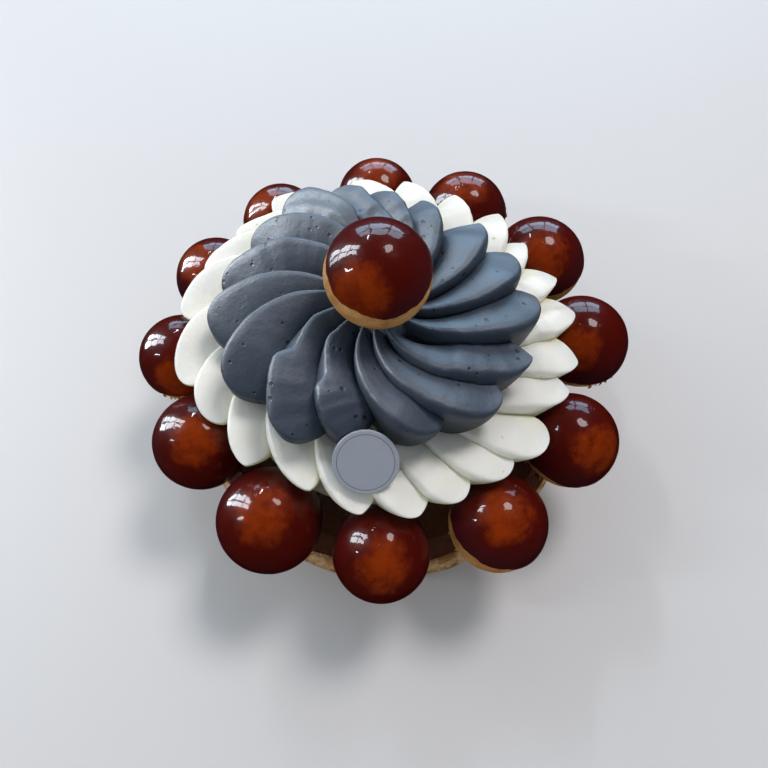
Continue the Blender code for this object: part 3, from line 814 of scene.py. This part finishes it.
def buildBakedRound():
    sizes = ["Low", "High", "Radius", "Pull", "Shrink", "Groove", "Layers", "Uneven", "Crag", "Crag scale",
             "Sink", "Seed"]
    tree, value, outside = newTree(
        "bakedRound", "GeometryNodeTree",
        [("Start", "Geometry", None)] + [(size, "Float", 0.0) for size in sizes]
        + [("Rows", "Int", 120), ("Around", "Int", 361), ("Skin", "Material", None)],
        [("Geometry", "Geometry", None)])
    sheet = sheetOf(tree, value["Rows"], value["Around"])
    along, around = attributeOf(tree, "along"), attributeOf(tree, "around")
    turn = around * math.tau
    cosine, sine = calc("COSINE", turn), calc("SINE", turn)
    below, above = 0.08, 0.70  # shares of the rows that lie underneath and that reach the top
    inSide = clampOf((along - below) / (above - below))
    across = clampOf(along / below) * clampOf((1.0 - along) / (1.0 - above))
    bulge = calc("SINE", (inSide * 0.80 + 0.12) * math.pi)
    radius = value["Radius"] - value["Pull"] * (1.0 - bulge) - value["Shrink"] * inSide
    layer = inSide * value["Layers"]
    groove = 1.0 - calc("ABSOLUTE", calc("SINE", layer * math.pi)) ** 0.6
    step = calc("FLOOR", clampOf(layer, 0.0, value["Layers"] - 0.01))
    layerNoise = evenNoise(joinXyz(cosine, sine, step * 1.7 + value["Seed"]), 4.5, 4.0, 0.65)
    slow = evenNoise(joinXyz(cosine, sine, value["Seed"]), 1.8, 2.0, 0.5)
    radius = radius - groove * value["Groove"] * (value["Layers"] > 0.5)
    reach = (radius + (layerNoise * 1.6 + slow) * value["Uneven"]) * across
    x, y = reach * cosine, reach * sine
    z = inSide * (value["High"] - value["Low"]) + value["Low"]
    crag = noiseOf(vectorCalc("SCALE", joinXyz(x, y, z), value["Crag scale"]), 1.0, 5.0, 0.62)
    onSide = ramp(inSide, 0.0, 0.12) * ramp(inSide, 1.0, 0.9)
    pushed = (crag - 0.6) * value["Crag"] * onSide
    z = z - crag * value["Sink"] * (inSide > 0.999)
    skin = storeOn(storeOn(sheet, "layer", groove * onSide), "upward", inSide)
    skin = moveTo(skin, joinXyz(pushed * cosine + x, pushed * sine + y, z))
    feedAll(outside, {"Geometry": closedSkin(skin, value["Skin"])})
    return tree


pastryLook = {
    "flaky": {"light": (0.66, 0.44, 0.20, 1), "brown": (0.34, 0.15, 0.042, 1),
              "glazed": (0.30, 0.105, 0.022, 1), "glazeFrom": 1.4,
              "crackle": 320.0, "blotch": 150.0, "layers": 0.12},
    # the choux round's colours are its browned and caramelized crust, darkened further as painted shade of
    # the recess under the puffs and the cream
    "choux": {"light": (0.23, 0.090, 0.026, 1), "brown": (0.115, 0.038, 0.010, 1),
              "glazed": (0.065, 0.014, 0.004, 1), "glazeFrom": 0.38,
              "crackle": 300.0, "blotch": 90.0, "layers": 0.0},
}


def makePastry(name, look):
    material, tree, shader = newMaterial(name)
    place = objectPlace(tree)
    scales = {"Place": place, "Crackle scale": look["crackle"], "Blotch scale": look["blotch"]}
    oven = useGroup(tree, ovenBrowning, scales)
    # browning blotches and crackle, and darker in the grooves between the flaky layers
    browned = shadeAttribute(tree, "layer") * look["layers"] + oven["Browning"]
    browned = oven["Crackle"] * 0.35 + browned
    colour = mixColour(clampOf(browned), look["light"], look["brown"])
    # darker and glossier toward the top: a caramelized glaze, and on the choux round partly painted shade
    # under the puffs and the cream
    reached = evenNoise(place, 130.0, 3.0, 0.6) * 0.9 + shadeAttribute(tree, "upward")
    glazed = ramp(reached, look["glazeFrom"], look["glazeFrom"] + 0.12)
    feedAll(shader, {
        "Base Color": mixColour(glazed * 0.8, colour, look["glazed"]),
        "Roughness": ramp(glazed, 0.0, 1.0, 0.78, 0.35, False),
        "Normal": bumpOf(oven["Height"], 0.6, 0.0007)})
    return material


bakedRound = buildBakedRound()
bakedSizes = {
    "flaky": {"Low": 0.0, "High": 0.0085, "Radius": 0.0735, "Pull": 0.0, "Shrink": 0.0022, "Groove": 0.0011,
              "Layers": 9.0, "Uneven": 0.0011, "Crag": 0.0005, "Crag scale": 500.0, "Sink": 0.0003,
              "Seed": 2.0, "Rows": 130, "Around": 421},
    "choux": {"Low": 0.0088, "High": 0.026, "Radius": 0.0715, "Pull": 0.0075, "Shrink": 0.0, "Groove": 0.0,
              "Layers": 0.0, "Uneven": 0.0012, "Crag": 0.0022, "Crag scale": 170.0, "Sink": 0.0012,
              "Seed": 7.0, "Rows": 110, "Around": 421},
}


def makeBaked(name, kind, node, slotName):
    mesh = bpy.data.meshes.new(name)
    values = dict(bakedSizes[kind])
    values["Skin"] = makePastry(kind + "Crust", pastryLook[kind])
    thing = runTree(addObject(name, mesh), bakedRound, values)
    thing.data.transform(Matrix.Translation(cakeShift))
    thing.data.set_sharp_from_angle(angle=math.radians(75))
    handIn(thing, slotName, node)
    print(name, "is baked:", len(thing.data.polygons), "faces")


makeBaked("flakyDisc", "flaky", "pastry_disc", "flaky_pastry")
makeBaked("chouxBase", "choux", "choux_round", "browned_choux")

# the plaque: a thin disc with a softly rounded rim and a fine printed ring


def buildPlaqueDisc():
    tree, value, outside = newTree(
        "plaqueDisc", "GeometryNodeTree",
        [("Start", "Geometry", None), ("Radius", "Float", 0.0), ("Thickness", "Float", 0.0),
         ("Rounding", "Float", 0.0), ("Rows", "Int", 60), ("Around", "Int", 145), ("Skin", "Material", None)],
        [("Geometry", "Geometry", None)])
    sheet = sheetOf(tree, value["Rows"], value["Around"])
    along = attributeOf(tree, "along")
    turn = attributeOf(tree, "around") * math.tau
    across = curveOf(along, [(0, 0), (0.3, 1), (0.7, 1), (1, 0)], (0, 0.3, 0.7, 1))
    swing = (clampOf((along - 0.3) / 0.4) - 0.5) * math.pi  # over the rim, which is the middle of the rows
    reach = value["Rounding"] * calc("COSINE", swing) + (value["Radius"] - value["Rounding"]) * across
    reach = reach * (across > 0.0)
    z = value["Thickness"] * 0.5 * calc("SINE", swing)
    skin = storeOn(sheet, "fromMiddle", reach / value["Radius"])
    skin = moveTo(skin, joinXyz(reach * calc("COSINE", turn), reach * calc("SINE", turn), z))
    feedAll(outside, {"Geometry": closedSkin(skin, value["Skin"])})
    return tree


plaqueLook = {"face": (0.290, 0.318, 0.365, 1), "mottle": (0.6, 0.62, 0.7, 1),
              "ink": (0.030, 0.030, 0.042, 1), "ringAt": 0.86, "ringWidth": 0.012}


def makePlaqueSkin():
    material, tree, shader = newMaterial("plaquePrint")
    place = objectPlace(tree)
    away = calc("ABSOLUTE", shadeAttribute(tree, "fromMiddle") - plaqueLook["ringAt"])
    ring = ramp(away, plaqueLook["ringWidth"] * 0.6, plaqueLook["ringWidth"], 1.0, 0.0)
    mottle = noiseOf(place, 600.0, 3.0, 0.6)
    face = mixColour(mottle * 0.12, plaqueLook["face"], plaqueLook["mottle"])
    feedAll(shader, {
        "Base Color": mixColour(ring * 0.85, face, plaqueLook["ink"]),
        "Roughness": ramp(mottle, 0.3, 0.7, 0.42, 0.52), "Normal": bumpOf(mottle, 0.25, 0.0001)})
    return material


def makePlaque():
    mesh = bpy.data.meshes.new("roundPlaque")
    thing = runTree(addObject("roundPlaque", mesh), buildPlaqueDisc(), {
        "Radius": plaqueSize["radius"], "Thickness": plaqueSize["thickness"],
        "Rounding": plaqueSize["rounding"], "Rows": 61, "Around": 145, "Skin": makePlaqueSkin()})
    thing.data.transform(Matrix.Translation(cakeShift) @ plaquePlace())
    thing.data.set_sharp_from_angle(angle=math.radians(60))
    handIn(thing, "plaque", "plaque")


makePlaque()
makePuffs()
makeFlakes()

# camera, floor and light


def makeCamera():
    rise = math.radians(cameraView["elevation"])
    roll = math.radians(cameraView["roll"])
    forward = Vector((0, math.cos(rise), -math.sin(rise)))
    right = Vector((1, 0, 0))
    up = right.cross(forward)
    tiltedRight = math.cos(roll) * right + math.sin(roll) * up
    tiltedUp = math.cos(roll) * up - math.sin(roll) * right
    camera = bpy.data.objects.new("camera", bpy.data.cameras.new("camera"))
    scene.collection.objects.link(camera)
    place = Matrix((tiltedRight, tiltedUp, -forward)).transposed().to_4x4()
    place.translation = Vector(cameraView["target"]) + cakeShift - forward * cameraView["distance"]
    camera.matrix_world = place
    camera.data.sensor_width = cameraView["sensor"]
    camera.data.lens = cameraView["sensor"] * cameraView["pixels"] / cameraView["pictureWidth"]
    camera.data.clip_start = cameraView["nearest"]
    scene.camera = camera


tableLook = {"half": 3, "colour": (0.60, 0.60, 0.595, 1), "roughness": 0.6}


def makeFloor():
    half = tableLook["half"]
    mesh = bpy.data.meshes.new("floor")
    corners = [(-half, -half, 0), (half, -half, 0), (half, half, 0), (-half, half, 0)]
    mesh.from_pydata(corners, [], [(0, 1, 2, 3)])
    floor = addObject("floor", mesh)
    material, tree, shader = newMaterial("paleTable")
    feedAll(shader, {"Base Color": tableLook["colour"], "Roughness": tableLook["roughness"]})
    mesh.materials.append(material)
    floor.visible_glossy = False


def makeLight(name, size, power, colour, long=None):
    data = bpy.data.lights.new(name, "AREA")
    data.energy = power
    data.color = colour
    data.size = size
    if long is not None:
        data.shape = "RECTANGLE"
        data.size_y = long
    light = bpy.data.objects.new(name, data)
    scene.collection.objects.link(light)
    return light


# a window's panes are what shines on wet and satin surfaces, and its fill is the soft light that it gives
roomLight = {
    "left": {"from": (-0.85, 0.40, 0.34), "away": 2.4, "pane": (0.36, 0.86), "columns": 2, "rows": 3,
             "watts": 38.0, "tint": (0.84, 0.92, 1.0), "fillWatts": 33.0, "fillTint": (0.92, 0.97, 1.0)},
    "back": {"from": (0.03, 0.93, 0.35), "away": 2.8, "pane": (0.95, 0.70), "columns": 3, "rows": 2,
             "watts": 19.0, "tint": (0.50, 0.75, 1.0), "fillWatts": 38.0, "fillTint": (0.82, 0.92, 1.0)},
    "frame": 0.10, "sky": (0.86, 0.92, 1.0, 1), "skyStrength": 0.47,
    "strips": (((-0.278, 0.674, 0.685), 0.24, 0.03, 50), ((-0.83, -0.15, 0.54), 0.24, 0.03, 60)),
    "stripWatts": 2.4, "stripAway": 1.3, "stripTint": (0.90, 0.95, 1.0),
    "lampFrom": (0.32, 0.36, 0.875), "lampAway": 2.0, "lampSize": 0.62, "lampWatts": 18.5,
    "lampTint": (1.0, 0.93, 0.93),
}


def makeWorld():
    world = bpy.data.worlds.new("softRoom")
    world.use_nodes = True
    background = world.node_tree.nodes["Background"]
    feedAll(background, {"Color": roomLight["sky"], "Strength": roomLight["skyStrength"]})
    world.cycles_visibility.glossy = False
    scene.world = world


def axesToward(place):  # level, upright, and from the middle of the table to the place
    toward = Vector(place).normalized()
    sideways = Vector((0, 0, 1)).cross(toward).normalized()
    return sideways, toward.cross(sideways), toward


def turnToCake(light, place, spin=0.0):  # its face looks at the middle of the table
    facing = Matrix(axesToward(place)).transposed().to_4x4()
    light.matrix_world = Matrix.Translation(place) @ facing @ Matrix.Rotation(math.radians(spin), 4, "Z")


def makeWindow(name, window):
    sideways, upwards, toward = axesToward(window["from"])
    place = toward * window["away"]
    wide, tall = window["pane"]
    for row in range(window["rows"]):
        for column in range(window["columns"]):
            shift = sideways * (column - (window["columns"] - 1) / 2) * (wide + roomLight["frame"])
            shift = shift + upwards * (row - (window["rows"] - 1) / 2) * (tall + roomLight["frame"])
            pane = makeLight(f"{name}_{row}_{column}", wide, window["watts"], window["tint"], tall)
            turnToCake(pane, place)
            pane.matrix_world.translation = place + shift
            pane.visible_diffuse = False
    width, height = wide * window["columns"], tall * window["rows"]
    fill = makeLight(f"{name}_fill", width, window["fillWatts"], window["fillTint"], height)
    turnToCake(fill, place)
    fill.visible_glossy = False


makeCamera()
makeFloor()
makeWorld()
makeWindow("leftPane", roomLight["left"])
makeWindow("backPane", roomLight["back"])
for number, (place, long, wide, spin) in enumerate(roomLight["strips"]):
    strip = makeLight(f"strip_{number}", long, roomLight["stripWatts"], roomLight["stripTint"], wide)
    turnToCake(strip, Vector(place) * roomLight["stripAway"], spin)
lamp = makeLight("lamp", roomLight["lampSize"], roomLight["lampWatts"], roomLight["lampTint"])
lamp.data.shape = "DISK"
turnToCake(lamp, Vector(roomLight["lampFrom"]) * roomLight["lampAway"])
scene.view_settings.view_transform = "Standard"
print("camera, floor and lights are set")
